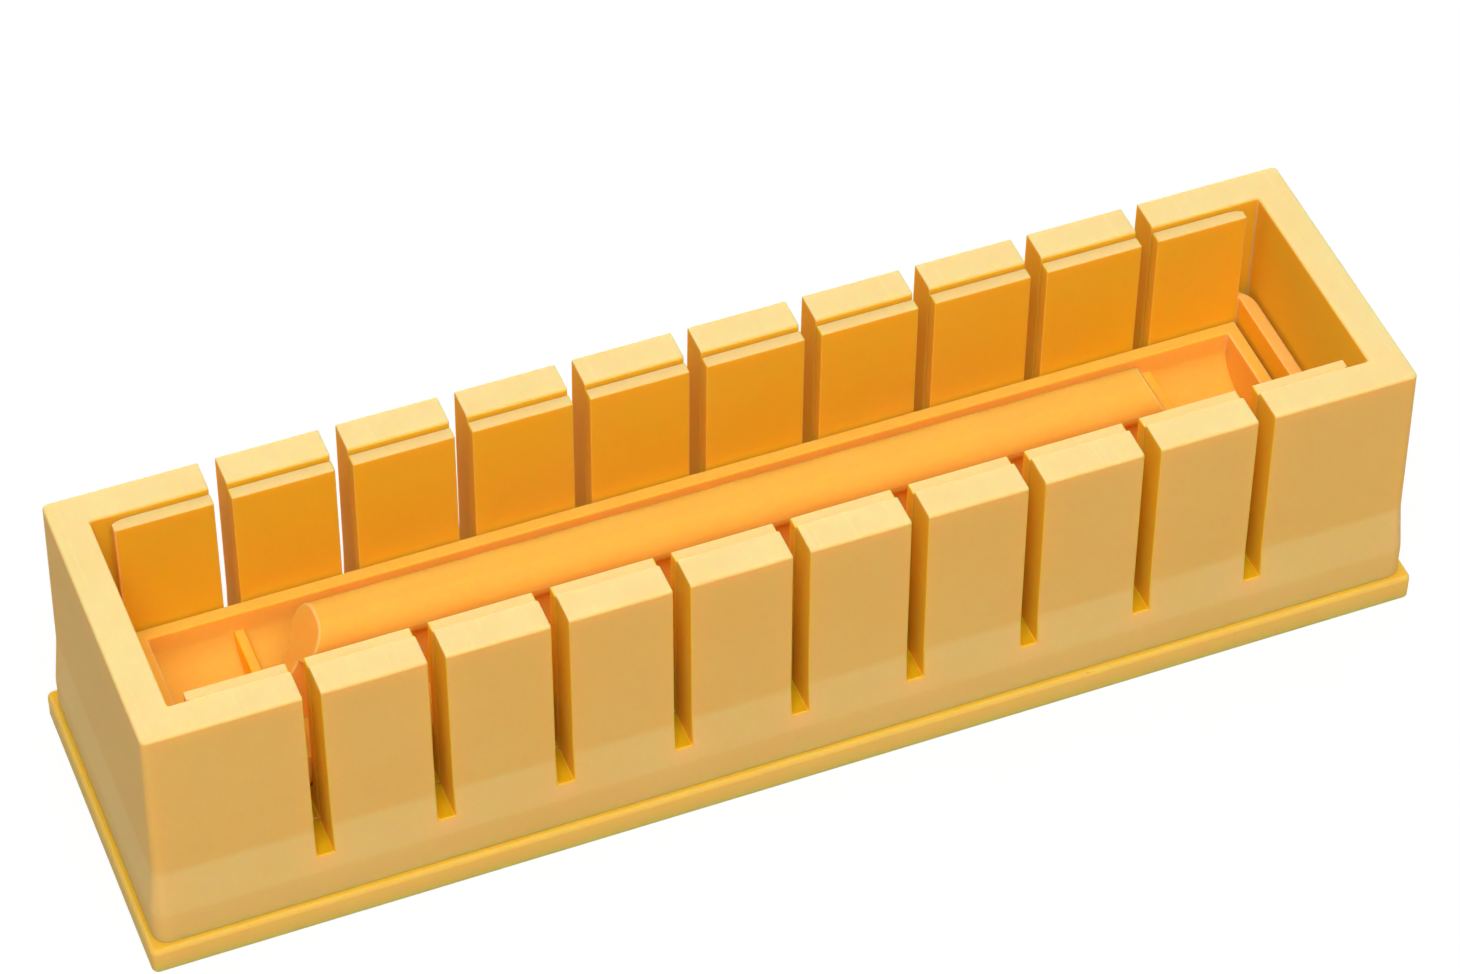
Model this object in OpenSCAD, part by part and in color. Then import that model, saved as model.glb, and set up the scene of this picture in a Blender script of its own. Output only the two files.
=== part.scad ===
// Rice roll mould with knife slots: a base tray, a slotted frame that stands on it,
// a lower mould (trough) inside the frame and a hand press that rests in the trough.
// Millimetres, Z up. The origin is in the middle of the footprint, on the table.
// X runs along the mould, the front faces -Y.

/* [Frame] */
// Length of the frame over its end walls
frame_l = 224.6; // [205:0.1:260]
// Width of the frame over its long walls
frame_w = 55.5; // [50:0.5:70]
// Height of the rim above the table
rim_z = 53.7; // [48:0.1:70]
// Thickness of the walls at the rim
wall_t = 6.4; // [5:0.1:8]
// Thickness of the skins, webs and rim round the hollows in the walls
frame_skin = 1.8; // [1.5:0.1:2]
// Radius of the frame's upright outer corners
frame_corner_r = 1; // [1:0.1:4]
// Radius of the rim's edges
rim_edge_r = 0.5; // [0.2:0.1:0.9]
// How far the walls lean out from the rim down to the flare
wall_draft = 0.6; // [0:0.1:0.9]
// How far the foot stands out past the rim
foot_out = 1.6; // [1:0.1:2.2]
// Height above the table where the walls start to flare
flare_top_z = 21.5; // [18:0.1:26]
// Height above the table where the flare ends in the upright foot
flare_low_z = 11.3; // [8:0.1:15]

/* [Knife slots] */
// Slots in each long wall
slot_count = 9; // [3:2:9]
// Distance from slot to slot, one slice of the roll
slot_pitch = 21; // [16:0.5:22]
// Width of a slot
slot_w = 3; // [2:0.1:4]
// Height of the slots' floors above the table
slot_floor_z = 15.3; // [12:0.1:16]

/* [Base tray] */
// How far the tray's lip stands out past the frame's rim
lip_out = 2.9; // [2.5:0.1:5]
// Thickness of the tray's edge
tray_h = 5.2; // [4:0.1:7]
// Radius of the tray's corners seen from above
tray_corner_r = 1.2; // [1.2:0.1:6]
// Radius of the tray's upper edge
tray_edge_r = 0.9; // [0.3:0.1:1.1]
// Wall and skin thickness of the tray
tray_skin = 2.2; // [1.6:0.1:3]
// Height of the plinth above the tray's edge
plinth_h = 4; // [2:0.1:5]
// Bays between the cross ribs under the tray
tray_bays = 6; // [2:2:10]

/* [Lower mould] */
// How far the trough's rim lies below the frame's
trough_drop = 1.1; // [0:0.1:5]
// Thickness of the trough's walls and floor
trough_t = 2.4; // [1.8:0.1:3.5]
// Height of the trough's floor above the table
trough_floor_z = 15.6; // [14:0.1:18]
// Radius between the trough's floor and walls
trough_r = 8; // [3:0.5:14]
// Distance from the frame's end walls to the trough's side walls
trough_end_gap = 3.3; // [3.3:0.1:6]
// Height of the low end stops above the table
end_stop_z = 33; // [24:0.5:40]

/* [Press] */
// Height of the press's guide rims above its sole
press_rim_h = 12; // [9:0.5:20]
// Height of the grip's top above the sole
grip_top_h = 25; // [18:0.5:34]
// Width of the grip's head
grip_w = 10; // [6:0.5:14]
// Length of the grip
grip_l = 150; // [60:1:190]
// Thickness of the press's sole, rims and web
press_t = 2.4; // [1.8:0.1:3.5]

/* [Fit] */
// Gap between pieces that slide past each other, on each side
slide_gap = 0.3; // [0.2:0.05:0.6]
// Gap between the lower mould and the frame's end walls
end_gap = 0.8; // [0.5:0.1:1.5]

/* [Hidden] */
$fn = 64;
plastic = "#F3D48C";
past = 1; // how far a cutter runs past the face it cuts

inner_l = frame_l - 2 * wall_t;
inner_w = frame_w - 2 * wall_t;
cavity_corner_r = 0.4;
groove_top_z = min(flare_low_z, slot_floor_z - frame_skin);

mould_l = inner_l - 2 * end_gap;
mould_w = inner_w - 2 * slide_gap;
mould_corner_r = 5;
mould_top_z = rim_z - trough_drop;
trough_w = mould_w - 2 * trough_t;
trough_l = mould_l - 2 * trough_t;
side_wall_l = inner_l - 2 * trough_end_gap;
mould_edge_r = 0.4;

plinth_l = trough_l - 2 * slide_gap;
plinth_w = trough_w - 2 * slide_gap;
plinth_top_z = tray_h + plinth_h;
tray_l = frame_l + 2 * lip_out;
tray_w = frame_w + 2 * lip_out;
tray_rib_t = 1.8;

press_l = trough_l - 4 * slide_gap;
press_w = trough_w - 2 * slide_gap;
press_r = trough_r + 2 * slide_gap;
press_rib_t = 1.8;
press_rib_h = 8;
grip_head_h = 8;
grip_neck_t = 4;
grip_slope = 12; // length of the sloping end of the grip

// A solid with a rounded rectangular plan. The child is the section of its outer side:
// x outward from the corner's axis, y up from base_z to top_z. It is run along the four
// sides and turned round the four corners.
module round_plan(l, w, r, base_z, top_z) {
    half_l = l / 2 - r;
    half_w = w / 2 - r;
    translate([-half_l, -half_w, base_z])
        cube([2 * half_l, 2 * half_w, top_z - base_z]);
    for (turn = [0, 180])
        rotate([0, 0, turn])
            translate([half_l, 0, 0])
                rotate([90, 0, 0])
                    linear_extrude(2 * half_w, center = true)
                        children();
    for (turn = [90, 270])
        rotate([0, 0, turn])
            translate([half_w, 0, 0])
                rotate([90, 0, 0])
                    linear_extrude(2 * half_l, center = true)
                        children();
    for (corner = [[1, 1, 0], [-1, 1, 90], [-1, -1, 180], [1, -1, 270]])
        translate([corner[0] * half_l, corner[1] * half_w, 0])
            rotate([0, 0, corner[2]])
                rotate_extrude(angle = 90)
                    children();
}

// A plain block with upright rounded corners
module round_block(l, w, r, base_z, top_z) {
    round_plan(l, w, r, base_z, top_z)
        translate([0, base_z])
            square([r, top_z - base_z]);
}

// A bar along X whose cross-section is the child, drawn in Y and Z
module bar(l) {
    rotate([90, 0, 90])
        linear_extrude(l, center = true)
            children();
}

// Cross-section of a round-cornered channel, from its floor up
module channel(w, r, floor_z, top_z) {
    h = top_z - floor_z;
    intersection() {
        translate([-w / 2, floor_z])
            square([w, h]);
        union() {
            translate([-w / 2, floor_z + r])
                square([w, h]);
            translate([-w / 2 + r, floor_z])
                square([w - 2 * r, h]);
            for (side = [-1, 1])
                translate([side * (w / 2 - r), floor_z + r])
                    circle(r);
        }
    }
}

// What rounding off leaves to cut at an outer edge, its corner at the origin
module edge_cut(r) {
    difference() {
        translate([-r, -r])
            square(r + past);
        translate([-r, -r])
            circle(r);
    }
}

// The knife's path through both long walls, from the slots' floors up past the rim
module knife_slots() {
    first_x = -slot_pitch * (slot_count - 1) / 2;
    for (i = [0:slot_count - 1])
        translate([first_x + i * slot_pitch - slot_w / 2, -tray_w / 2, slot_floor_z])
            cube([slot_w, tray_w, rim_z]);
}

// Hollows under the tray and its plinth; what stays between them are stiffening ribs
module tray_hollows() {
    bay_l = (tray_l - 2 * tray_skin + tray_rib_t) / tray_bays;
    bay_w = tray_w / 2 - tray_rib_t / 2;
    intersection() {
        union() {
            round_block(tray_l - 2 * tray_skin, tray_w - 2 * tray_skin, mould_corner_r,
                        -past, tray_h - tray_skin);
            round_block(plinth_l - 2 * tray_skin, plinth_w - 2 * tray_skin, mould_corner_r,
                        -past, plinth_top_z - tray_skin);
        }
        for (i = [0:tray_bays - 1], side = [-1, 1])
            translate([-tray_l / 2 + tray_skin + i * bay_l, side * (bay_w + tray_rib_t) / 2 - bay_w / 2, -past])
                cube([bay_l - tray_rib_t, bay_w, plinth_top_z]);
    }
}

module base_tray() {
    color(plastic)
        difference() {
            union() {
                round_plan(tray_l, tray_w, tray_corner_r, 0, tray_h)
                    difference() {
                        square([tray_corner_r, tray_h]);
                        translate([tray_corner_r, tray_h])
                            edge_cut(tray_edge_r);
                    }
                round_plan(plinth_l, plinth_w, mould_corner_r, 0, plinth_top_z)
                    difference() {
                        square([mould_corner_r, plinth_top_z]);
                        translate([mould_corner_r, plinth_top_z])
                            edge_cut(mould_edge_r);
                    }
            }
            tray_hollows();
        }
}

// Section of the frame's outer side: nearly upright, flared, then upright at the foot
module frame_side() {
    difference() {
        polygon([
            [0, tray_h],
            [frame_corner_r + foot_out, tray_h],
            [frame_corner_r + foot_out, flare_low_z],
            [frame_corner_r + wall_draft, flare_top_z],
            [frame_corner_r, rim_z],
            [0, rim_z]
        ]);
        translate([frame_corner_r, rim_z])
            edge_cut(rim_edge_r);
    }
}

// Section of the frame's cavity, its mouth rounded over the rim's inner edge
module cavity_side() {
    translate([0, tray_h - past])
        square([cavity_corner_r, rim_z - tray_h + 2 * past]);
    difference() {
        translate([0, rim_z - rim_edge_r])
            square([cavity_corner_r + rim_edge_r, rim_edge_r + past]);
        translate([cavity_corner_r + rim_edge_r, rim_z - rim_edge_r])
            circle(rim_edge_r);
    }
}

// A pocket up inside a wall, from the foot to the rim's skin, where x is measured along the
// wall from its middle and y outward from the cavity. It follows the wall's outer side.
module wall_pocket(from, to) {
    translate([from, 0, 0])
        rotate([90, 0, 90])
            linear_extrude(to - from)
                polygon([
                    [frame_skin, tray_h - past],
                    [wall_t + foot_out - frame_skin, tray_h - past],
                    [wall_t + foot_out - frame_skin, flare_low_z],
                    [wall_t + wall_draft - frame_skin, flare_top_z],
                    [wall_t - frame_skin, rim_z - frame_skin],
                    [frame_skin, rim_z - frame_skin]
                ]);
}

// The hollows in the frame's double walls, open at the foot: a pocket up each block between
// two slots and up the halves of the end walls, joined by a groove that runs all round
// below the slots' floors
module frame_hollows() {
    web_half = slot_w / 2 + frame_skin;
    last_slot_x = slot_pitch * (slot_count - 1) / 2;
    for (turn = [0, 180])
        rotate([0, 0, turn]) {
            translate([0, inner_w / 2, 0]) {
                for (i = [0:slot_count - 2])
                    wall_pocket(i * slot_pitch - last_slot_x + web_half,
                                (i + 1) * slot_pitch - last_slot_x - web_half);
                for (side = [0, 1])
                    mirror([side, 0, 0])
                        wall_pocket(last_slot_x + web_half, frame_l / 2 - frame_skin);
            }
            rotate([0, 0, 90])
                translate([0, inner_l / 2, 0])
                    for (side = [0, 1])
                        mirror([side, 0, 0])
                            wall_pocket(frame_skin / 2, inner_w / 2 - frame_skin);
        }
    difference() {
        round_block(frame_l + 2 * (foot_out - frame_skin), frame_w + 2 * (foot_out - frame_skin),
                    frame_corner_r, tray_h - past, groove_top_z);
        round_block(inner_l + 2 * frame_skin, inner_w + 2 * frame_skin,
                    frame_skin, tray_h - 2 * past, groove_top_z + past);
    }
}

module slotted_frame() {
    color(plastic)
        difference() {
            round_plan(frame_l, frame_w, frame_corner_r, tray_h, rim_z)
                frame_side();
            round_plan(inner_l, inner_w, cavity_corner_r, tray_h - past, rim_z + past)
                cavity_side();
            frame_hollows();
            knife_slots();
        }
}

module lower_mould() {
    color(plastic)
        difference() {
            round_plan(mould_l, mould_w, mould_corner_r, tray_h, mould_top_z)
                difference() {
                    translate([0, tray_h])
                        square([mould_corner_r, mould_top_z - tray_h]);
                    translate([mould_corner_r, mould_top_z])
                        edge_cut(mould_edge_r);
                }
            // the trough that holds the roll
            bar(trough_l)
                channel(trough_w, trough_r, trough_floor_z, mould_top_z + past);
            // hollow underneath, where the plinth fits
            round_block(trough_l, trough_w, mould_corner_r, tray_h - past, trough_floor_z - trough_t);
            // above the end stops the side walls end short of the frame
            for (side = [-1, 1])
                translate([side * (side_wall_l + mould_l) / 4 + side * past / 2, 0, (end_stop_z + rim_z) / 2])
                    cube([(mould_l - side_wall_l) / 2 + past, mould_w + past, rim_z - end_stop_z], center = true);
            knife_slots();
        }
}

// Side view of the grip, its ends sloping down to the rims
module grip_side(low_z, high_z) {
    polygon([
        [-grip_l / 2 - grip_slope, low_z],
        [grip_l / 2 + grip_slope, low_z],
        [grip_l / 2, high_z],
        [-grip_l / 2, high_z]
    ]);
}

// Cross-section of the grip: a round head on a neck
module grip_head(sole_z) {
    head_z = sole_z + grip_top_h - grip_head_h / 2;
    translate([-grip_neck_t / 2, sole_z + press_t / 2])
        square([grip_neck_t, grip_top_h - grip_head_h / 2 - press_t / 2]);
    translate([-(grip_w - grip_head_h) / 2, head_z - grip_head_h / 2])
        square([grip_w - grip_head_h, grip_head_h]);
    for (side = [-1, 1])
        translate([side * (grip_w - grip_head_h) / 2, head_z])
            circle(grip_head_h / 2);
}

module press() {
    sole_z = trough_floor_z;
    rim_top_z = sole_z + press_rim_h;
    color(plastic) {
        difference() {
            bar(press_l)
                channel(press_w, press_r, sole_z, rim_top_z);
            bar(press_l - 2 * press_t)
                channel(press_w - 2 * press_t, press_r - press_t, sole_z + press_t, rim_top_z + past);
        }
        // cross ribs, one at every other slice
        intersection() {
            bar(press_l - press_t)
                channel(press_w - press_t, press_r - press_t / 2, sole_z + press_t / 2, sole_z + press_rib_h);
            for (i = [-2:2])
                translate([i * 2 * slot_pitch - press_rib_t / 2, -press_w / 2, sole_z])
                    cube([press_rib_t, press_w, press_rib_h]);
        }
        intersection() {
            bar(grip_l + 2 * grip_slope)
                grip_head(sole_z);
            rotate([90, 0, 0])
                linear_extrude(press_w, center = true)
                    grip_side(sole_z + press_t / 2, sole_z + grip_top_h);
        }
    }
}

base_tray();
slotted_frame();
lower_mould();
press();
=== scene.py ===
import math

import bmesh
import bpy
from mathutils import Matrix, Vector


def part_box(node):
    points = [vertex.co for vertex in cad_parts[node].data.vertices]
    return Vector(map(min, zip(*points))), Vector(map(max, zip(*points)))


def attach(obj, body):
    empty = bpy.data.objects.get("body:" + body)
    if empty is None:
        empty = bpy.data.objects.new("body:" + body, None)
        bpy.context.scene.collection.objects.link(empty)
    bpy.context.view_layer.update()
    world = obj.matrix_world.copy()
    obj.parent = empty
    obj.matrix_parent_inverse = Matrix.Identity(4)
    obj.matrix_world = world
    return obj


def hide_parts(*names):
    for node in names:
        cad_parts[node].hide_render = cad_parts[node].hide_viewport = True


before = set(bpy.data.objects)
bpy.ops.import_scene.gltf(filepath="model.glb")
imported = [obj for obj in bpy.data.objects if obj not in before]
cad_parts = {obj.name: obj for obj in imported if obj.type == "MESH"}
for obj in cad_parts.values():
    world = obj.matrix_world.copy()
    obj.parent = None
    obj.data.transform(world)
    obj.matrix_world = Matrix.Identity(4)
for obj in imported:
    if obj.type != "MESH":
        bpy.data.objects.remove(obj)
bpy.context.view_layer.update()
mm = 0.001
past = 1 * mm  # how far a cutter reaches beyond the face that it cuts
strip = 1 * mm  # how deep a band belongs to a rim or a slot's floor
near = 0.1 * mm  # what still counts as lying on a wall's face
touching = 0.05 * mm  # what still counts as being in a slot or on a pin mark
print("frame loaded:", sorted(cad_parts))

frameLow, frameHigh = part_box("slotted_frame")
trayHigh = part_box("base_tray")[1]
mouldLow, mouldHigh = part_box("lower_mould")
pressLow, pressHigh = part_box("press")

cameraSettings = {
    "aim": (3.98 * mm, 13.63 * mm, 27.05 * mm),
    "azimuth": -22.06,  # degrees, 0 looks along +Y
    "elevation": 46.81,
    "distance": 872.1 * mm,
    "roll": 0.59,
    "lens": 125,
    "sensor": 36,
    "clip": (0.01, 20),
}


def makeCamera(settings):
    azimuth, elevation = math.radians(settings["azimuth"]), math.radians(settings["elevation"])
    back = Vector((
        math.sin(azimuth) * math.cos(elevation),
        -math.cos(azimuth) * math.cos(elevation),
        math.sin(elevation),
    ))
    data = bpy.data.cameras.new("camera")
    data.lens = settings["lens"]
    data.sensor_width = settings["sensor"]
    data.clip_start, data.clip_end = settings["clip"]
    camera = bpy.data.objects.new("camera", data)
    bpy.context.scene.collection.objects.link(camera)
    roll = Matrix.Rotation(math.radians(settings["roll"]), 3, "Z")
    turned = back.to_track_quat("Z", "Y").to_matrix() @ roll
    place = Vector(settings["aim"]) + back * settings["distance"]
    camera.matrix_world = Matrix.Translation(place) @ turned.to_4x4()
    bpy.context.scene.camera = camera


makeCamera(cameraSettings)
print("camera placed")

meshSettings = {
    "weld": 0.001 * mm,  # corners closer than this are one
    "level": 0.01 * mm,  # heights closer than this are one
    "flat": 0.5,  # degrees between faces that still make one flat face
    "sharp": 30,  # degrees from which an edge is rounded
    "crease": 40,  # degrees from which an edge stays hard in the shading
    "flatWeight": 80,
}


def roundedBlock(length, width, radius, levels, segments=6):
    # levels are (height, how far the outline stands out there), from the bottom up
    bm = bmesh.new()
    bmesh.ops.create_grid(bm, x_segments=1, y_segments=1, size=0.5)
    z, out = levels[0]
    bmesh.ops.scale(bm, vec=(length + 2 * out, width + 2 * out, 1), verts=bm.verts)
    bmesh.ops.bevel(bm, geom=bm.verts[:], offset=radius + out, offset_type="OFFSET",
                    segments=segments, profile=0.5, affect="VERTICES", material=-1)
    bmesh.ops.translate(bm, vec=(0, 0, z), verts=bm.verts)
    bm.faces.ensure_lookup_table()
    top = bm.faces[0]
    for nextZ, nextOut in levels[1:]:
        bmesh.ops.inset_region(bm, faces=[top], thickness=out - nextOut, depth=nextZ - z,
                               use_boundary=True, use_even_offset=True)
        z, out = nextZ, nextOut
    bmesh.ops.holes_fill(bm, edges=[edge for edge in bm.edges if edge.is_boundary], sides=0)
    bmesh.ops.recalc_face_normals(bm, faces=bm.faces)
    return bm


def box(low, high):
    bm = bmesh.new()
    bmesh.ops.create_cube(bm, size=1)
    size = [h - l for l, h in zip(low, high)]
    middle = [(h + l) / 2 for l, h in zip(low, high)]
    bmesh.ops.scale(bm, vec=size, verts=bm.verts)
    bmesh.ops.translate(bm, vec=middle, verts=bm.verts)
    return bm


def sharpEdges(bm, limit):
    return [edge for edge in bm.edges
            if len(edge.link_faces) == 2 and edge.calc_face_angle(0) > math.radians(limit)]


def atHeight(bm, z):
    slack = meshSettings["level"]
    return [edge for edge in bm.edges if all(abs(vert.co.z - z) < slack for vert in edge.verts)]


def roundEdges(bm, chosen, radius, segments):
    return bmesh.ops.bevel(bm, geom=chosen, offset=radius, offset_type="OFFSET",
                           segments=segments, profile=0.5, affect="EDGES", material=-1,
                           clamp_overlap=False)["faces"]


def channelBlock(length, width, radius, low, high):
    # a bar whose two long lower edges are rounded
    bm = box((-length / 2, -width / 2, low), (length / 2, width / 2, high))
    under = [edge for edge in atHeight(bm, low)
             if abs(edge.verts[0].co.y - edge.verts[1].co.y) < meshSettings["level"]]
    roundEdges(bm, under, radius, segments=12)
    return bm


def together(parts):
    bm = bmesh.new()
    for part in parts:
        mesh = bpy.data.meshes.new("part")
        part.to_mesh(mesh)
        bm.from_mesh(mesh)
        bpy.data.meshes.remove(mesh)
        part.free()
    return bm


def objectFrom(name, bm):
    mesh = bpy.data.meshes.new(name)
    bm.to_mesh(mesh)
    bm.free()
    made = bpy.data.objects.new(name, mesh)
    bpy.context.scene.collection.objects.link(made)
    return made


def combine(operation, first, second):
    # both are used up, and the result is a new bmesh
    work, tool = objectFrom("work", first), objectFrom("tool", second)
    modifier = work.modifiers.new("cut", "BOOLEAN")
    modifier.operation, modifier.solver, modifier.object = operation, "EXACT", tool
    modifier.use_self = operation == "UNION"
    result = work.evaluated_get(bpy.context.evaluated_depsgraph_get())
    mesh = bpy.data.meshes.new_from_object(result)
    bm = bmesh.new()
    bm.from_mesh(mesh)
    for made in (work, tool):
        old = made.data
        bpy.data.objects.remove(made)
        bpy.data.meshes.remove(old)
    bpy.data.meshes.remove(mesh)
    bmesh.ops.remove_doubles(bm, verts=bm.verts, dist=meshSettings["weld"])
    bmesh.ops.dissolve_limit(bm, angle_limit=math.radians(meshSettings["flat"]),
                             verts=bm.verts, edges=bm.edges, delimit={"NORMAL"})
    return bm


def carve(bm, tool):
    return combine("DIFFERENCE", bm, tool)


def unite(parts):
    whole = parts[0]
    for part in parts[1:]:
        whole = combine("UNION", whole, part)
    return whole


def ejectorPins(places, radius, low, high):
    # the round marks that the mould's pins leave, as cutters
    pins = []
    for x, y in places:
        pin = bmesh.new()
        bmesh.ops.create_cone(pin, cap_ends=True, segments=32, radius1=radius, radius2=radius,
                              depth=high - low)
        bmesh.ops.translate(pin, vec=(x, y, (low + high) / 2), verts=pin.verts)
        pins.append(pin)
    return together(pins)


def roundPins(edge, places, radius):
    reach = radius + touching
    return any(all(math.hypot(vert.co.x - x, vert.co.y - y) < reach for vert in edge.verts)
               for x, y in places)


slotSettings = {
    "count": 9,
    "pitch": 21 * mm,
    "width": 3 * mm,
    "floor": 15.3 * mm,
    "pastSide": 2 * mm,  # how far the cutters reach beyond the tray's sides and the rim
    "pastRim": 5 * mm,
}
slotPlaces = [(index - (slotSettings["count"] - 1) / 2) * slotSettings["pitch"]
              for index in range(slotSettings["count"])]


def knifeSlots():
    reach, top = trayHigh.y + slotSettings["pastSide"], frameHigh.z + slotSettings["pastRim"]
    half, floor = slotSettings["width"] / 2, slotSettings["floor"]
    return together([box((x - half, -reach, floor), (x + half, reach, top)) for x in slotPlaces])


def inSlot(point, slack=touching):
    half = slotSettings["width"] / 2 + slack
    above = point.z > slotSettings["floor"] - slack
    return above and any(abs(point.x - place) < half for place in slotPlaces)


# how strongly the pale tone shows, as wear on rounded edges and as painted sheen on upward faces,
# and how strongly the deeper tones of painted shade show
wearAndSheenSettings = {
    # rounded edges: partly wear, partly painted highlight; rim, flare, foot, lip, tray top and
    # mould rim: painted sheen
    "edge": 0.3,
    "rim": 0.76,
    "flare": 0.28,
    "foot": 0.16,
    "lip": 0.3,
    "trayTop": 0.1,
    "mouldRim": 0.6,
}
paintedShadeSettings = {
    # painted shade in slots, cavity, trough, on the tray top and the press, with the orange of
    # light bouncing in recesses
    "slotEdge": 0.3,
    "press": 0.22,
    "wall": 0.5,
    "trough": 0.6,
    "trayTop": 0.8,
    "slotFloorShade": 1,
}
# how much of a face's normal points the way in question
faceLimits = {"level": 0.95, "square": 0.9, "slanted": 0.5, "outward": 0.1, "notDown": -0.2}


def nowhere(normal, middle):
    return 0


def finishPiece(name, bm, body, node, material, softRadius, spare, paintedShadeOf, wearAndSheenOf=nowhere):
    # painted shade, painted sheen and edge wear for the faces, the small radius of every moulded
    # edge, then the CAD node's place
    paleWearAndSheen = bm.faces.layers.float.new("wearAndSheenMark")
    paintedShade = bm.faces.layers.float.new("paintedShade")
    square, floorTop = faceLimits["square"], slotSettings["floor"] + strip
    for face in bm.faces:
        middle = face.calc_center_median()
        # painted shade: recesses deeper, slot walls deeper still and slot floors deepest, as
        # where little light reaches
        face[paintedShade] = paintedShadeOf(face.normal, middle)
        if inSlot(middle) and face.normal.z > square and middle.z < floorTop:
            face[paintedShade] = paintedShadeSettings["slotFloorShade"]
        elif inSlot(middle) and abs(face.normal.x) > square:
            face[paintedShade] = paintedShadeSettings["wall"]
        face[paleWearAndSheen] = 0 if inSlot(middle) and face[paintedShade] else wearAndSheenOf(face.normal, middle)
    chosen = [edge for edge in sharpEdges(bm, meshSettings["sharp"]) if not spare(edge)]
    # rounded edges: painted shade inside the slots; elsewhere the pale tone, partly wear and
    # partly painted highlight
    for face in roundEdges(bm, chosen, softRadius, segments=2):
        middle = face.calc_center_median()
        slotEdge = inSlot(middle, softRadius) and middle.z < frameHigh.z - strip
        outward = abs(face.normal.y) > faceLimits["outward"]
        tone = paintedShadeSettings["slotEdge" if outward else "wall"]
        face[paintedShade] = tone if slotEdge else 0
        face[paleWearAndSheen] = 0 if slotEdge else max(wearAndSheenSettings["edge"], wearAndSheenOf(face.normal, middle))
    bmesh.ops.recalc_face_normals(bm, faces=bm.faces)
    for face in bm.faces:
        face.smooth = True
    for edge in sharpEdges(bm, meshSettings["crease"]):
        edge.smooth = False
    piece = objectFrom(name, bm)
    piece.data.materials.append(material)
    normals = piece.modifiers.new("flat faces stay flat", "WEIGHTED_NORMAL")
    normals.keep_sharp, normals.weight = True, meshSettings["flatWeight"]
    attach(piece, body)
    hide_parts(node)
    print("made", name, len(piece.data.polygons), "faces")


class Signal:
    def __init__(self, look, socket):
        self.look, self.socket = look, socket

    def maths(self, operation, first, second):
        return self.look.node("ShaderNodeMath", {"operation": operation}, {0: first, 1: second})

    def __add__(self, other):
        return self.maths("ADD", self, other)

    def __sub__(self, other):
        return self.maths("SUBTRACT", self, other)

    def __rsub__(self, other):
        return self.maths("SUBTRACT", other, self)

    def __mul__(self, other):
        return self.maths("MULTIPLY", self, other)

    def __or__(self, other):  # either of two masks
        return self.maths("MAXIMUM", self, other)

    __radd__, __rmul__, __ror__ = __add__, __mul__, __or__


class Look:
    def __init__(self, owner):
        owner.use_nodes = True
        self.owner, self.tree = owner, owner.node_tree
        self.tree.nodes.clear()

    def node(self, kind, settings, inputs, output=0):
        made = self.tree.nodes.new(kind)
        for key, value in settings.items():
            setattr(made, key, value)
        for key, value in inputs.items():
            if isinstance(value, Signal):
                self.tree.links.new(value.socket, made.inputs[key])
            else:
                made.inputs[key].default_value = value
        return Signal(self, made.outputs[output]) if made.outputs else None

    def mark(self, layer):  # a value that the mesh carries on its faces
        return self.node("ShaderNodeAttribute", {"attribute_name": layer}, {}, "Fac")

    def noise(self, place, scale, detail):
        return self.node("ShaderNodeTexNoise", {},
                         {"Vector": place, "Scale": scale, "Detail": detail})

    def stretched(self, place, scale):
        return self.node("ShaderNodeMapping", {}, {"Vector": place, "Scale": scale})

    def ramp(self, value, low, high):  # 0 up to low, 1 from high
        return self.node("ShaderNodeMapRange", {},
                         {"Value": value, "From Min": low, "From Max": high})

    def blend(self, factor, first, second):
        return self.node("ShaderNodeMix", {"data_type": "RGBA"},
                         {0: factor, 6: first, 7: second}, 2)

    def seenDirectly(self):  # by the camera, in a reflection or through something clear
        rays = [self.node("ShaderNodeLightPath", {}, {}, ray)
                for ray in ("Is Camera Ray", "Is Glossy Ray", "Is Transmission Ray")]
        return rays[0] | rays[1] | rays[2]


plasticSettings = {
    "colour": (0.985, 0.505, 0.138, 1),
    "deeper": (0.94, 0.415, 0.082, 1),
    # painted shade: the deeper, more orange tone of recesses, standing in for shade and the light
    # bouncing there
    "shadowed": (0.98, 0.49, 0.018, 1),
    # painted shade: the darkest tone, on slot floors
    "slotFloorShade": (0.66, 0.37, 0.006, 1),
    # the pale tone: wear on edges, and painted sheen on the rim, the flare and other upward faces
    "paleWearAndSheen": (0.985, 0.7, 0.34, 1),
    "roughness": 0.5,
    "gloss": 0.02,
    "ior": 1.5,
    "scatter": 0.85,
    "scatterRadius": (1.0, 0.32, 0.06),
    "scatterDepth": 5 * mm,
    "cloudScale": 28,  # broad drifts of colour
    "flowScale": 60,  # streaks along the piece, from the flow of the melt
    "flowStretch": (0.2, 1, 1),
    "uprightScale": 160,  # upright streaks of gloss
    "uprightStretch": (1, 1, 0.25),
    "scratchScale": 900,  # scratches across the piece, only under the pale wear and sheen mark
    "scratchStretch": (1, 0.06, 1),
    "scratchRange": (0.64, 0.72),
    "patchScale": 120,  # patches in the pale wear and painted sheen
    "grainScale": 2600,
    "waveScale": 90,
    "bumpStrength": 0.5,
    "bumpDepth": 0.2 * mm,
    "fullShadow": 0.5,  # the painted shade mark at which the shadowed tone is full
    "cloudShare": 0.6,
    "flowShare": 0.4,
    "shadowPatches": (0.7, 0.4),  # an even part, and the part that varies
    "palePatches": (0.75, 0.4),
    "scratchPale": 0.12,
    "grainRelief": 0.35,
    "waveRelief": 0.65,
    "scratchRelief": 0.2,
    "uprightRough": 0.12,
    "flowRough": 0.08,
}
trayPlasticSettings = {
    **plasticSettings,
    "colour": (0.92, 0.535, 0.13, 1),
    "deeper": (0.9, 0.485, 0.1, 1),
}


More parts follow.
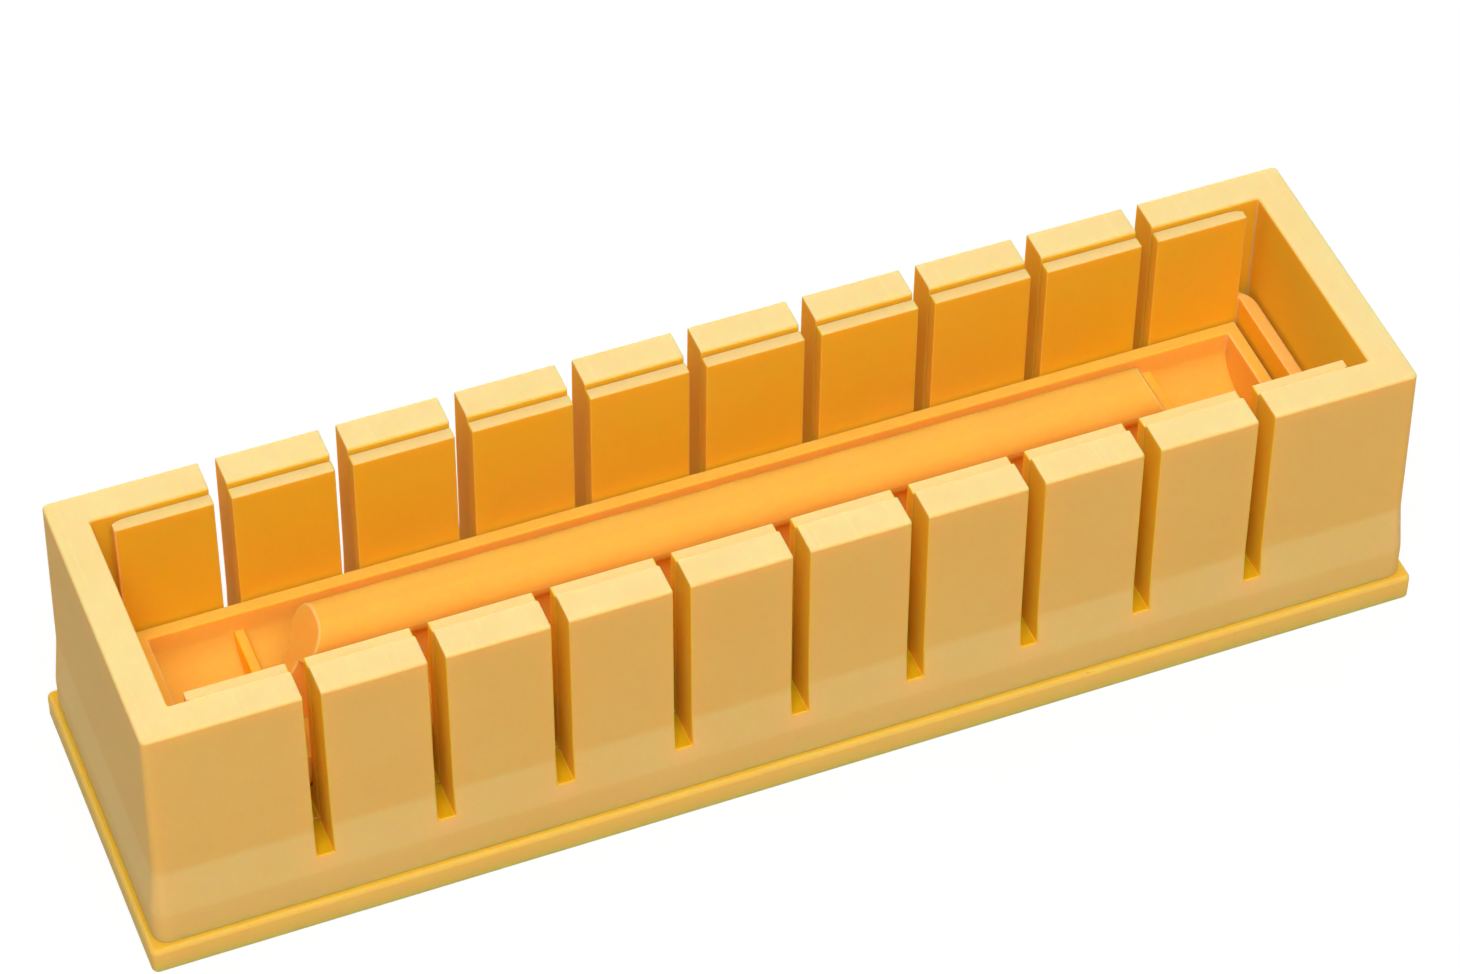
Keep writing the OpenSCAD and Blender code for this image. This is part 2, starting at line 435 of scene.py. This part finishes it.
def mouldedPlastic(name, settings):
    look = Look(bpy.data.materials.new(name))
    place = look.node("ShaderNodeTexCoord", {}, {}, "Object")
    wearAndSheen, paintedShade = look.mark("wearAndSheenMark"), look.mark("paintedShade")
    cloud = look.noise(place, settings["cloudScale"], 3)
    flowPlace = look.stretched(place, settings["flowStretch"])
    flow = look.noise(flowPlace, settings["flowScale"], 3)
    uprightPlace = look.stretched(place, settings["uprightStretch"])
    upright = look.noise(uprightPlace, settings["uprightScale"], 4)
    scratchPlace = look.stretched(place, settings["scratchStretch"])
    scratches = look.noise(scratchPlace, settings["scratchScale"], 2)
    scratch = look.ramp(scratches, *settings["scratchRange"]) * wearAndSheen

    drift = cloud * settings["cloudShare"] + flow * settings["flowShare"]
    colour = look.blend(drift, settings["deeper"], settings["colour"])
    even, varied = settings["shadowPatches"]
    # painted shade: deeper, more orange tones where the shade mark lies, deepest on slot floors
    shadow = look.ramp(paintedShade, 0, settings["fullShadow"]) * (cloud * varied + even)
    colour = look.blend(shadow, colour, settings["shadowed"])
    deepestShade = look.ramp(paintedShade, settings["fullShadow"], 1)
    colour = look.blend(deepestShade, colour, settings["slotFloorShade"])
    # paler: edge wear, and painted sheen on upward faces
    even, varied = settings["palePatches"]
    patches = look.noise(place, settings["patchScale"], 2) * varied + even
    paler = wearAndSheen * patches + scratch * settings["scratchPale"]
    colour = look.blend(paler, colour, settings["paleWearAndSheen"])

    grain = look.noise(place, settings["grainScale"], 2)
    wave = look.noise(place, settings["waveScale"], 1)
    relief = grain * settings["grainRelief"] + wave * settings["waveRelief"]
    bump = look.node("ShaderNodeBump", {}, {
        "Height": relief - scratch * settings["scratchRelief"],
        "Strength": settings["bumpStrength"],
        "Distance": settings["bumpDepth"],
    })
    uprightRough, flowRough = settings["uprightRough"], settings["flowRough"]
    smoothest = settings["roughness"] - (uprightRough + flowRough) / 2
    shader = look.node("ShaderNodeBsdfPrincipled", {}, {
        "Base Color": colour,
        "Roughness": upright * uprightRough + flow * flowRough + smoothest,
        "Normal": bump,
        "IOR": settings["ior"],
        "Specular IOR Level": settings["gloss"],
        "Subsurface Weight": settings["scatter"],
        "Subsurface Radius": settings["scatterRadius"],
        "Subsurface Scale": settings["scatterDepth"],
    })
    look.node("ShaderNodeOutputMaterial", {}, {"Surface": shader})
    return look.owner


plastic = mouldedPlastic("mouldedPlastic", plasticSettings)
trayPlastic = mouldedPlastic("trayPlastic", trayPlasticSettings)
print("plastic mixed")

frameSettings = {
    "wall": 6.4 * mm,
    "cornerRadius": 1 * mm,
    "cavityRadius": 0.4 * mm,
    "rimRadius": 0.5 * mm,
    "rimAngle": 1,  # radians from which an edge at the rim is rounded
    "draft": 0.6 * mm,
    "footOut": 1.6 * mm,
    "flareLow": 11.3 * mm,
    "flareTop": 21.5 * mm,
    "flareRadius": 0.7 * mm,
    "flareFade": 10,  # how soon the painted sheen is full where a face turns up
    "skin": 1.8 * mm,
    "coreRadius": 0.3 * mm,
    "coreMargin": 0.5 * mm,
    "grooveTop": 11 * mm,
    "acrossWall": 2 * mm,  # from this half length an edge crosses a wall in a slot
    "softRadius": 0.25 * mm,
}


def frameMoulding(settings):
    footZ, rimZ = frameLow.z, frameHigh.z
    footOut, draft = settings["footOut"], settings["draft"]
    flareLow, flareTop = settings["flareLow"], settings["flareTop"]
    length, width = frameHigh.x * 2 - 2 * footOut, frameHigh.y * 2 - 2 * footOut
    innerLength, innerWidth = length - 2 * settings["wall"], width - 2 * settings["wall"]
    profile = [(footZ, footOut), (flareLow, footOut), (flareTop, draft), (rimZ, 0)]
    bm = roundedBlock(length, width, settings["cornerRadius"], profile)
    flare = atHeight(bm, flareLow) + atHeight(bm, flareTop)
    roundEdges(bm, flare, settings["flareRadius"], segments=4)
    bm = carve(bm, roundedBlock(innerLength, innerWidth, settings["cavityRadius"],
                                [(footZ - past, 0), (rimZ + past, 0)], segments=3))
    rim = [edge for edge in atHeight(bm, rimZ) if edge.calc_face_angle(0) > settings["rimAngle"]]
    roundEdges(bm, rim, settings["rimRadius"], segments=5)
    bm = carve(bm, frameHollows(settings, length, width, innerLength, innerWidth))
    bm = carve(bm, knifeSlots())

    def cored(edge):  # the edges up inside the hollow walls, which nobody sees, stay plain
        middle = (edge.verts[0].co + edge.verts[1].co) / 2
        margin = settings["coreMargin"]
        inY = abs(middle.y) > innerWidth / 2 + margin
        inX = abs(middle.x) > innerLength / 2 + margin
        outY = abs(middle.y) > width / 2 - margin
        outX = abs(middle.x) > length / 2 - margin
        acrossWall = all(abs(abs(vert.co.y) - abs(middle.y)) > settings["acrossWall"]
                         for vert in edge.verts)
        hidden = (inY or inX) and not (outY or outX)
        return middle.z > footZ + near and hidden and not acrossWall

    def inside(middle, slack):
        return abs(middle.y) < innerWidth / 2 + slack and abs(middle.x) < innerLength / 2 + slack

    def inCavity(normal, middle):
        # painted shade on the cavity's walls
        wall = inside(middle, near) and abs(normal.z) < faceLimits["slanted"]
        return paintedShadeSettings["wall"] if wall else 0

    def rimAndFlareSheen(normal, middle):  # painted sheen: the rim and the upturned flare lighter, as where light falls on them, and the foot a little lighter
        if middle.z > rimZ - strip:
            return wearAndSheenSettings["rim"] * max(0, normal.z)
        if inside(middle, strip):
            return 0
        if middle.z < flareLow:
            return wearAndSheenSettings["foot"]
        return wearAndSheenSettings["flare"] * min(1, max(0, normal.z) * settings["flareFade"])

    finishPiece("frameMoulding", bm, "frame", "slotted_frame", plastic, settings["softRadius"],
                cored, inCavity, rimAndFlareSheen)


def frameHollows(settings, length, width, innerLength, innerWidth):
    # the core of the double walls: a ring between the skins, parted by webs beside each slot
    skin, radius, grooveTop = settings["skin"], settings["coreRadius"], settings["grooveTop"]
    footZ, rimZ = frameLow.z, frameHigh.z
    profile = [
        (footZ - past, settings["footOut"]),
        (settings["flareLow"], settings["footOut"]),
        (settings["flareTop"], settings["draft"]),
        (rimZ - skin, 0),
    ]
    core = roundedBlock(length - 2 * skin, width - 2 * skin, radius, profile, segments=2)
    core = carve(core, roundedBlock(innerLength + 2 * skin, innerWidth + 2 * skin, radius,
                                    [(footZ - 2 * past, 0), (rimZ + past, 0)], segments=2))
    webHalf = slotSettings["width"] / 2 + skin
    webs = [box((x - webHalf, -width, grooveTop), (x + webHalf, width, rimZ)) for x in slotPlaces]
    webs.append(box((-length, -skin / 2, grooveTop), (length, skin / 2, rimZ)))
    inner, outer = innerWidth / 2 - skin, innerWidth / 2 + skin
    for side in (-1, 1):
        low, high = sorted((side * inner, side * outer))
        webs.append(box((-length, low, grooveTop), (length, high, rimZ)))
    return carve(core, unite(webs))


frameMoulding(frameSettings)

troughSettings = {
    "cornerRadius": 5 * mm,
    "wall": 2.4 * mm,
    "floor": 15.6 * mm,
    "bendRadius": 8 * mm,
    "sideHalf": 102.6 * mm,
    "endStopTop": 33 * mm,
    "kerf": 0.6 * mm,
    "softRadius": 0.2 * mm,
    "pinRadius": 3 * mm,
    "pinDepth": 0.2 * mm,
    "pinOut": 8 * mm,
}


def troughMoulding(settings):
    low, high, wall = mouldLow.z, mouldHigh.z, settings["wall"]
    length, width = mouldHigh.x * 2, mouldHigh.y * 2
    innerLength, innerWidth = length - 2 * wall, width - 2 * wall
    corner, floor, pinOut = settings["cornerRadius"], settings["floor"], settings["pinOut"]
    underside = floor - wall
    bm = roundedBlock(length, width, corner, [(low, 0), (high, 0)])
    bm = carve(bm, channelBlock(innerLength, innerWidth, settings["bendRadius"],
                                floor, high + past))
    bm = carve(bm, roundedBlock(innerLength, innerWidth, corner,
                                [(low - past, 0), (underside, 0)]))
    for side in (-1, 1):
        start, end = sorted((side * settings["sideHalf"], side * length))
        bm = carve(bm, box((start, -width, settings["endStopTop"]), (end, width, high + past)))
    bm = carve(bm, knifeSlots())
    pins = [(x, y) for x in slotPlaces[::2] for y in (-pinOut, pinOut)]
    bm = carve(bm, ejectorPins(pins, settings["pinRadius"],
                               underside - past, underside + settings["pinDepth"]))
    inside = width / 2 - wall

    def plain(edge):  # the shallow kerfs across the floor, and the pin marks under it
        kerf = all(vert.co.z < floor + settings["kerf"] and abs(vert.co.y) < inside
                   for vert in edge.verts)
        return kerf or roundPins(edge, pins, settings["pinRadius"])

    # painted shade: the trough's inner faces deeper, as in shade, with the orange of bounced
    # light
    def inTrough(normal, middle):
        within = abs(middle.y) < inside + near and abs(middle.x) < length / 2 - wall + near
        exposed = middle.z < high - strip and normal.z > faceLimits["notDown"]
        return paintedShadeSettings["trough"] if within and exposed else 0

    # painted sheen: the mould's rim top lighter where it faces up
    def rimTop(normal, middle):
        return wearAndSheenSettings["mouldRim"] * max(0, normal.z) if middle.z > high - strip else 0

    finishPiece("troughMoulding", bm, "mould", "lower_mould", plastic, settings["softRadius"],
                plain, inTrough, rimTop)


troughMoulding(troughSettings)

traySettings = {
    "lipHeight": 5.2 * mm,
    "cornerRadius": 1.2 * mm,
    "lipRadius": 0.9 * mm,
    "plinthRadius": 5 * mm,
    "plinthGap": 0.3 * mm,
    "skin": 2.2 * mm,
    "rib": 1.8 * mm,
    "bays": 6,
    "softRadius": 0.3 * mm,
    "pinRadius": 3 * mm,
    "pinDepth": 0.2 * mm,
    "pinOut": 9 * mm,
    "nickPlace": (52.9 * mm, -30.55 * mm, 5 * mm),
    "nickRadius": 0.45 * mm,
}


def trayMoulding(settings):
    length, width, lipZ = trayHigh.x * 2, trayHigh.y * 2, settings["lipHeight"]
    skin, rib, bays = settings["skin"], settings["rib"], settings["bays"]
    radius, pinOut, top = settings["plinthRadius"], settings["pinOut"], trayHigh.z
    inset = troughSettings["wall"] + settings["plinthGap"]
    plinthLength, plinthWidth = 2 * (mouldHigh.x - inset), 2 * (mouldHigh.y - inset)
    bm = roundedBlock(length, width, settings["cornerRadius"], [(0, 0), (lipZ, 0)], segments=8)
    roundEdges(bm, atHeight(bm, lipZ), settings["lipRadius"], segments=6)
    plinth = roundedBlock(plinthLength, plinthWidth, radius, [(lipZ / 2, 0), (top, 0)])
    bm = combine("UNION", bm, plinth)
    hollow = combine(
        "UNION",
        roundedBlock(length - 2 * skin, width - 2 * skin, radius,
                     [(-past, 0), (lipZ - skin, 0)]),
        roundedBlock(plinthLength - 2 * skin, plinthWidth - 2 * skin, radius,
                     [(-2 * past, 0), (top - skin, 0)]),
    )
    bay = (length - 2 * skin + rib) / bays
    below = -5 * past  # the ribs reach below both hollows
    ribs = [box((-length, -rib / 2, below), (length, rib / 2, top))]
    for index in range(1, bays):
        x = -length / 2 + skin + index * bay - rib / 2
        ribs.append(box((x - rib / 2, -width, below), (x + rib / 2, width, top)))
    hollow = carve(hollow, unite(ribs))
    bm = carve(bm, hollow)
    ceiling = top - skin
    pins = [(-length / 2 + skin + (index + 0.5) * bay - rib / 2, y)
            for index in range(bays) for y in (-pinOut, pinOut)]
    bm = carve(bm, ejectorPins(pins, settings["pinRadius"],
                               ceiling - past, ceiling + settings["pinDepth"]))
    nick = bmesh.new()
    bmesh.ops.create_icosphere(nick, subdivisions=2, radius=settings["nickRadius"])
    bmesh.ops.translate(nick, vec=settings["nickPlace"], verts=nick.verts)
    bm = carve(bm, nick)

    def plain(edge):  # the nick and the pin marks
        inNick = all((vert.co - Vector(settings["nickPlace"])).length < 2 * settings["nickRadius"]
                     for vert in edge.verts)
        return inNick or roundPins(edge, pins, settings["pinRadius"])

    # painted shade: the tray's upward faces deeper and duller, as in the frame's shade
    def besideFrame(normal, middle):
        return paintedShadeSettings["trayTop"] if normal.z > faceLimits["slanted"] else 0

    # painted highlight on the lip's rounded edge, and a little painted sheen on its flat top
    def lip(normal, middle):
        if not besideFrame(normal, middle):
            return 0
        return wearAndSheenSettings["trayTop" if normal.z > faceLimits["level"] else "lip"]

    finishPiece("trayMoulding", bm, "tray", "base_tray", trayPlastic, settings["softRadius"],
                plain, besideFrame, lip)


trayMoulding(traySettings)

pressSettings = {
    "wall": 2.4 * mm,
    "rimHeight": 12 * mm,
    "bendRadius": 8.6 * mm,
    "ribWidth": 1.8 * mm,
    "ribHeight": 8 * mm,
    "ribMargin": 0.5 * mm,
    "gripLength": 150 * mm,
    "gripSlope": 12 * mm,
    "headWidth": 10 * mm,
    "headHeight": 8 * mm,
    "headFlat": 0.02 * mm,  # what the head's rounding leaves flat
    "neck": 4 * mm,
    "softRadius": 0.3 * mm,
}


def pressMoulding(settings):
    low, high, wall = pressLow.z, pressHigh.z, settings["wall"]
    length, width, bend = pressHigh.x * 2, pressHigh.y * 2, settings["bendRadius"]
    rimTop, ribTop = low + settings["rimHeight"], low + settings["ribHeight"]
    bm = channelBlock(length, width, bend, low, rimTop)
    bm = carve(bm, channelBlock(length - 2 * wall, width - 2 * wall, bend - wall,
                                low + wall, rimTop + past))
    half = settings["ribWidth"] / 2
    ribs = together([box((x - half, -width, low), (x + half, width, ribTop))
                     for x in slotPlaces[::2]])
    fill = channelBlock(length - wall, width - wall, bend - wall / 2, low + wall / 2, ribTop)
    bm = combine("UNION", bm, combine("INTERSECT", fill, ribs))
    bm = combine("UNION", bm, gripBlade(settings, low, high))

    def plain(edge):  # the inner corners where ribs, channel and grip run into each other
        under = ribTop + settings["ribMargin"]
        return not edge.is_convex and all(vert.co.z < under for vert in edge.verts)

    # painted shade: the whole press a little deeper, as it lies in the mould's shade
    def allOver(normal, middle):
        return paintedShadeSettings["press"]

    finishPiece("pressMoulding", bm, "press_bar", "press", plastic, settings["softRadius"],
                plain, allOver)


def gripBlade(settings, low, high):
    # a rounded head on a thin neck, with both ends sloped
    halfLength = settings["gripLength"] / 2 + settings["gripSlope"]
    base, headHeight = low + settings["wall"] / 2, settings["headHeight"]
    neckHalf, headHalf = settings["neck"] / 2, settings["headWidth"] / 2
    head = box((-halfLength, -headHalf, high - headHeight), (halfLength, headHalf, high))
    along = [edge for edge in head.edges if abs(edge.verts[0].co.x - edge.verts[1].co.x) > mm]
    roundEdges(head, along, headHeight / 2 - settings["headFlat"], segments=8)
    neck = box((-halfLength, -neckHalf, base), (halfLength, neckHalf, high - headHeight / 2))
    blade = combine("UNION", head, neck)
    run, rise = settings["gripSlope"], high - base
    for side in (-1, 1):
        normal = Vector((side * rise, 0, run)).normalized()
        point = Vector((side * settings["gripLength"] / 2, 0, high))
        geometry = blade.verts[:] + blade.edges[:] + blade.faces[:]
        cut = bmesh.ops.bisect_plane(blade, geom=geometry, plane_co=point, plane_no=normal,
                                     clear_outer=True)
        rim = [item for item in cut["geom_cut"] if isinstance(item, bmesh.types.BMEdge)]
        bmesh.ops.holes_fill(blade, edges=rim, sides=0)
    bmesh.ops.recalc_face_normals(blade, faces=blade.faces)
    return blade


pressMoulding(pressSettings)

stageSettings = {
    "floorSize": 6,
    "floorColour": 0.5,
    "whiteShare": 0.9,
    "white": (1, 1, 1, 1),
    "worldColour": (1.0, 0.98, 0.95),
    "worldStrength": 0.29,
}
lampSettings = [
    {"name": "key", "place": (-0.28, -0.84, 1.62), "size": 1.2, "power": 31.5},
    {"name": "backFill", "place": (0.3, 1.4, 0.36), "size": 1.2, "power": 14},
]


def makeFloor(settings):
    look = Look(bpy.data.materials.new("paleFloor"))
    seen = look.seenDirectly()
    tone, white = settings["floorColour"], settings["white"]
    colour = look.blend(seen, (tone, tone, tone, 1), white)
    matt = look.node("ShaderNodeBsdfDiffuse", {}, {"Color": colour})
    glow = look.node("ShaderNodeEmission", {}, {"Color": white, "Strength": 1})
    share = seen * settings["whiteShare"]
    mixed = look.node("ShaderNodeMixShader", {}, {0: share, 1: matt, 2: glow})
    look.node("ShaderNodeOutputMaterial", {}, {"Surface": mixed})
    bm = bmesh.new()
    bmesh.ops.create_grid(bm, x_segments=1, y_segments=1, size=settings["floorSize"] / 2)
    floor = objectFrom("floor", bm)
    floor.data.materials.append(look.owner)


def makeWorld(settings):
    world = bpy.data.worlds.new("studio")
    bpy.context.scene.world = world
    look = Look(world)
    seen = look.seenDirectly()
    lit = look.node("ShaderNodeBackground", {}, {
        "Color": (*settings["worldColour"], 1),
        "Strength": settings["worldStrength"],
    })
    glow = look.node("ShaderNodeBackground", {}, {"Color": settings["white"], "Strength": 1})
    mixed = look.node("ShaderNodeMixShader", {}, {0: seen, 1: lit, 2: glow})
    look.node("ShaderNodeOutputWorld", {}, {"Surface": mixed})


def makeLamps(lamps):
    for lamp in lamps:
        data = bpy.data.lights.new(lamp["name"], "AREA")
        data.shape, data.size, data.energy = "DISK", lamp["size"], lamp["power"]
        made = bpy.data.objects.new(lamp["name"], data)
        bpy.context.scene.collection.objects.link(made)
        place = Vector(lamp["place"])
        turned = place.to_track_quat("Z", "Y").to_matrix().to_4x4()
        made.matrix_world = Matrix.Translation(place) @ turned


makeFloor(stageSettings)
makeWorld(stageSettings)
makeLamps(lampSettings)
bpy.context.scene.view_settings.view_transform = "Standard"
print("stage and lamps set")
